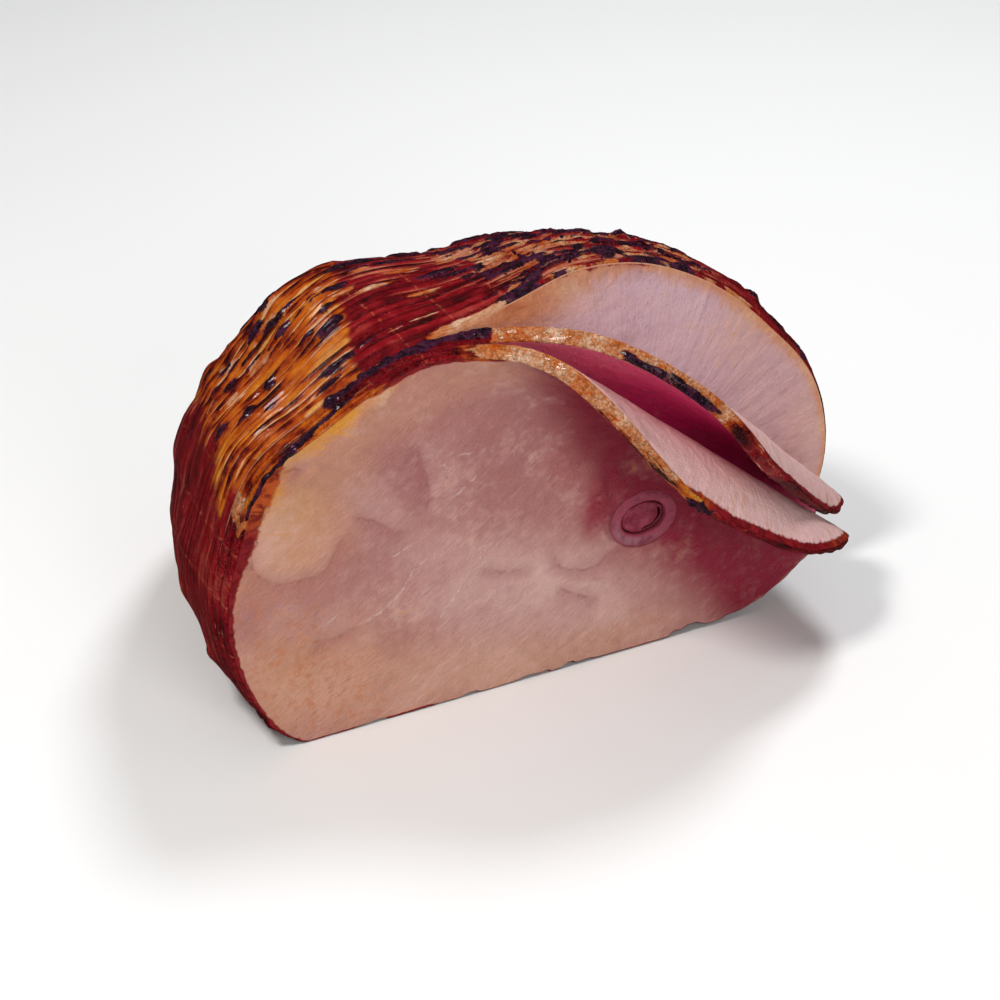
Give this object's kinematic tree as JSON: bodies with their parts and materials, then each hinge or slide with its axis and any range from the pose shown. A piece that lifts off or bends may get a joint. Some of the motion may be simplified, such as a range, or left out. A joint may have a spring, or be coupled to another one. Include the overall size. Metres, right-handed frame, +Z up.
{
  "type": "glazed ham",
  "caption": "Half of a glazed bone-in ham resting on its flat side, with charred rind bands and thin slices folded forward at the cut face.",
  "frame": {"origin": "bottom centre of the whole, on the table that the ham rests on", "axes": "+Z up, the cut face looks along -Y, and +X is to the right of someone who faces the cut"},
  "size_m": [0.2256, 0.2044, 0.137],
  "materials": {
    "rind": "glossy sugar glaze over dark roasted rind, charred along the ridges",
    "meat": "moist pink cooked meat with an amber fat rim",
    "bone": "moist pale bone",
    "marrow": "moist dark red marrow"
  },
  "bodies": {
    "root": {"ham_body": "rind", "slice_first": "meat", "slice_second": "meat", "bone": "bone", "marrow": "marrow"}
  },
  "joints": []
}
